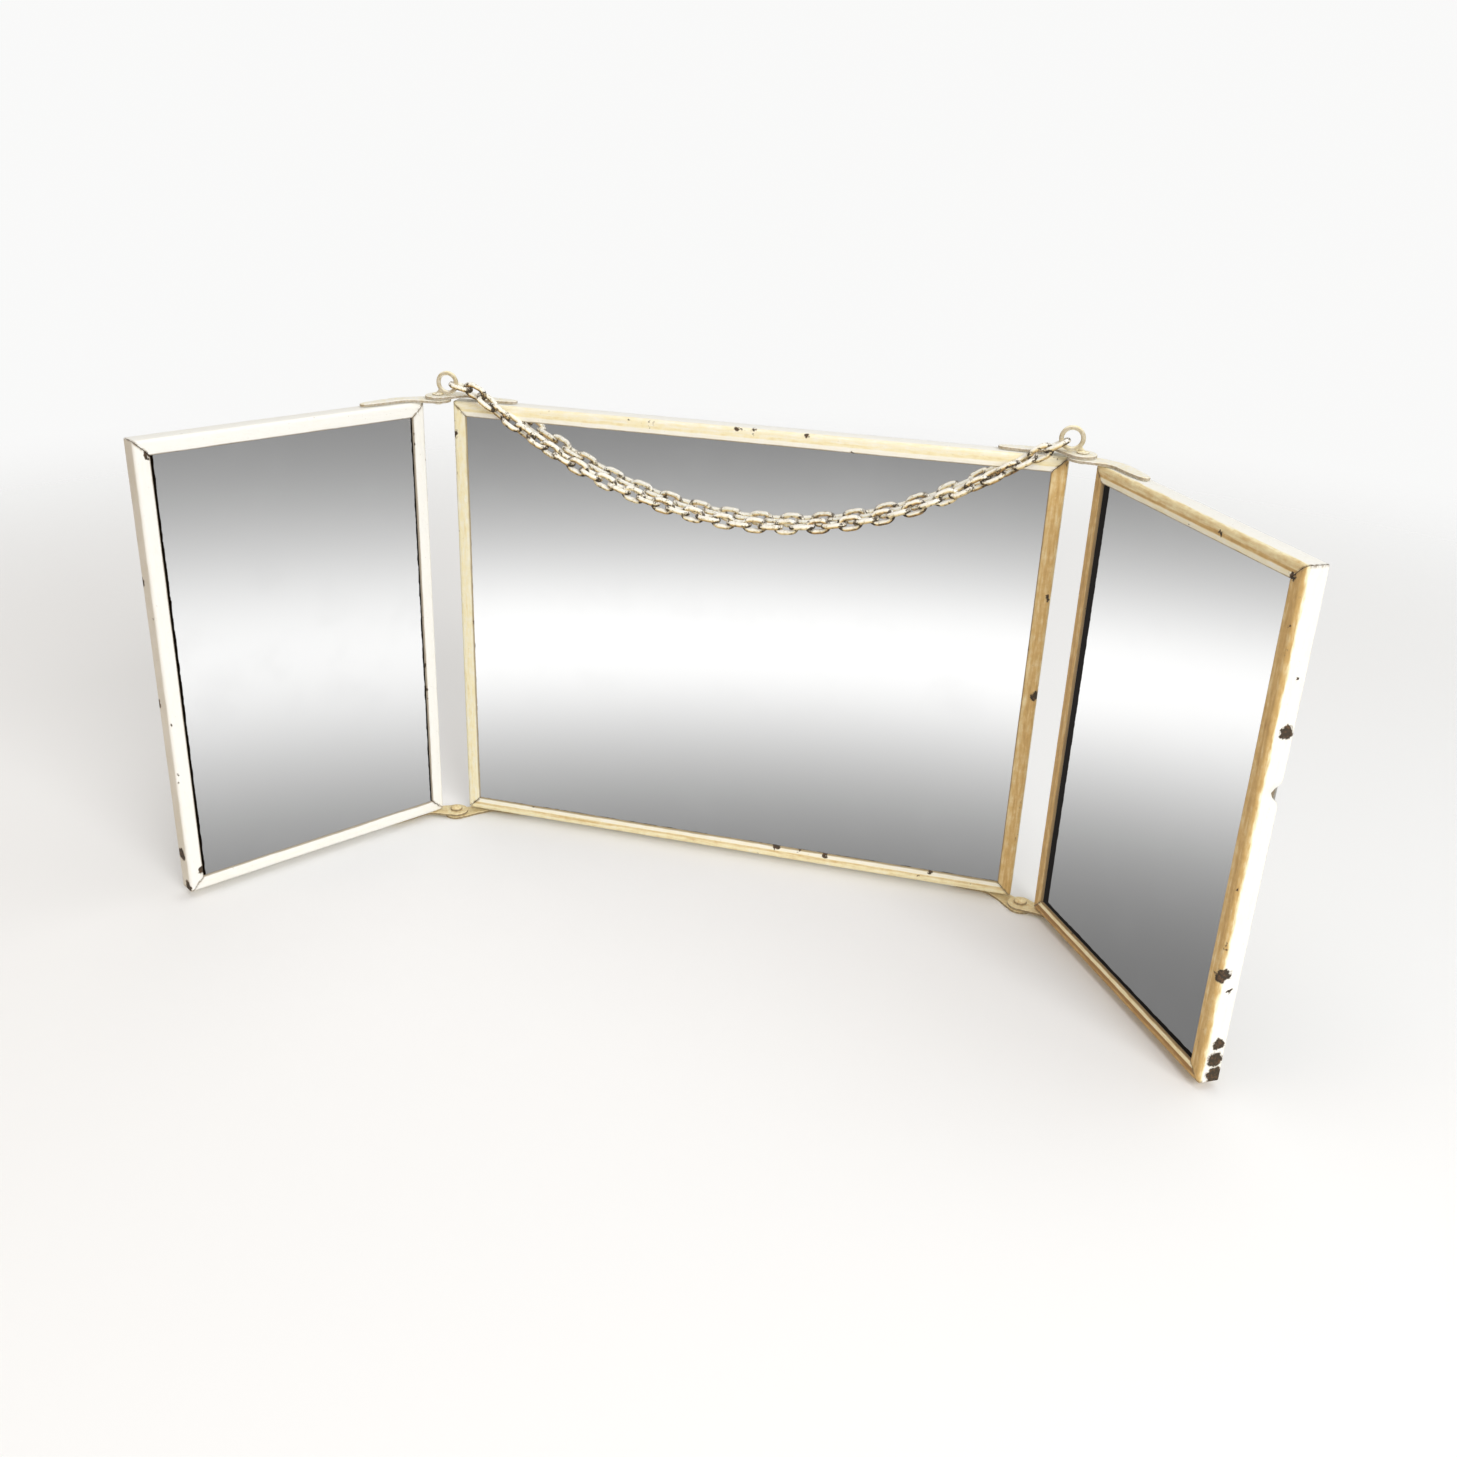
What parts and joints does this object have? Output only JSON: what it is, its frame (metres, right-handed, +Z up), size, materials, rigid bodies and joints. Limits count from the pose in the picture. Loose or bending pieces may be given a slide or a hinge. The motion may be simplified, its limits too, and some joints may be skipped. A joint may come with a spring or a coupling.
{
  "type": "folding triptych mirror",
  "caption": "Free-standing folding vanity mirror: a wide centre mirror, a half-width wing hinged at each side on strap hinges, and a chain between the hinge tops.",
  "frame": {"origin": "under the middle of the object's box with both wings at 58 degrees forward, on the surface it stands on", "axes": "+X from the left wing to the right wing as seen from the front, +Y towards the back, +Z up; the centre mirror faces -Y"},
  "size_m": [0.4408, 0.1258, 0.2171],
  "materials": {
    "cream_paint": "worn cream enamel, semi-gloss",
    "strap_paint": "worn ivory enamel, semi-gloss",
    "chain_paint": "worn cream paint with dark chips",
    "silvered_glass": "silvered behind clear glass",
    "backing_card": "grey-brown pulp card",
    "back_plate": "dull tinned sheet"
  },
  "bodies": {
    "centre_panel": {"centre_left_rail": "cream_paint", "centre_top_rail": "cream_paint", "centre_right_rail": "cream_paint", "centre_bottom_rail": "cream_paint", "centre_mirror_glass": "silvered_glass", "centre_backing_card": "backing_card", "centre_back_plate": "back_plate", "centre_top_left_strap": "strap_paint", "centre_bottom_left_strap": "strap_paint", "centre_top_right_strap": "strap_paint", "centre_bottom_right_strap": "strap_paint", "left_eye_rivet": "strap_paint", "right_eye_rivet": "strap_paint", "left_bottom_rivet": "strap_paint", "right_bottom_rivet": "strap_paint", "chain": "chain_paint", "chain_end_link_left": "chain_paint", "chain_end_link_right": "chain_paint"},
    "left_wing": {"left_wing_outer_rail": "cream_paint", "left_wing_top_rail": "cream_paint", "left_wing_hinge_rail": "cream_paint", "left_wing_bottom_rail": "cream_paint", "left_wing_mirror_glass": "silvered_glass", "left_wing_backing_card": "backing_card", "left_wing_back_plate": "back_plate", "left_wing_top_strap": "strap_paint", "left_wing_bottom_strap": "strap_paint"},
    "right_wing": {"right_wing_hinge_rail": "cream_paint", "right_wing_top_rail": "cream_paint", "right_wing_outer_rail": "cream_paint", "right_wing_bottom_rail": "cream_paint", "right_wing_mirror_glass": "silvered_glass", "right_wing_backing_card": "backing_card", "right_wing_back_plate": "back_plate", "right_wing_top_strap": "strap_paint", "right_wing_bottom_strap": "strap_paint"}
  },
  "joints": [
    {"name": "left_wing_hinge", "type": "hinge", "parent": "centre_panel", "child": "left_wing", "pos_m": [-0.1378, 0.05001, 0.1032], "axis": [0, 0, 1], "range_deg": [-98, 122]},
    {"name": "right_wing_hinge", "type": "hinge", "parent": "centre_panel", "child": "right_wing", "pos_m": [0.1378, 0.05001, 0.1032], "axis": [0, 0, -1], "range_deg": [-98, 122]}
  ]
}
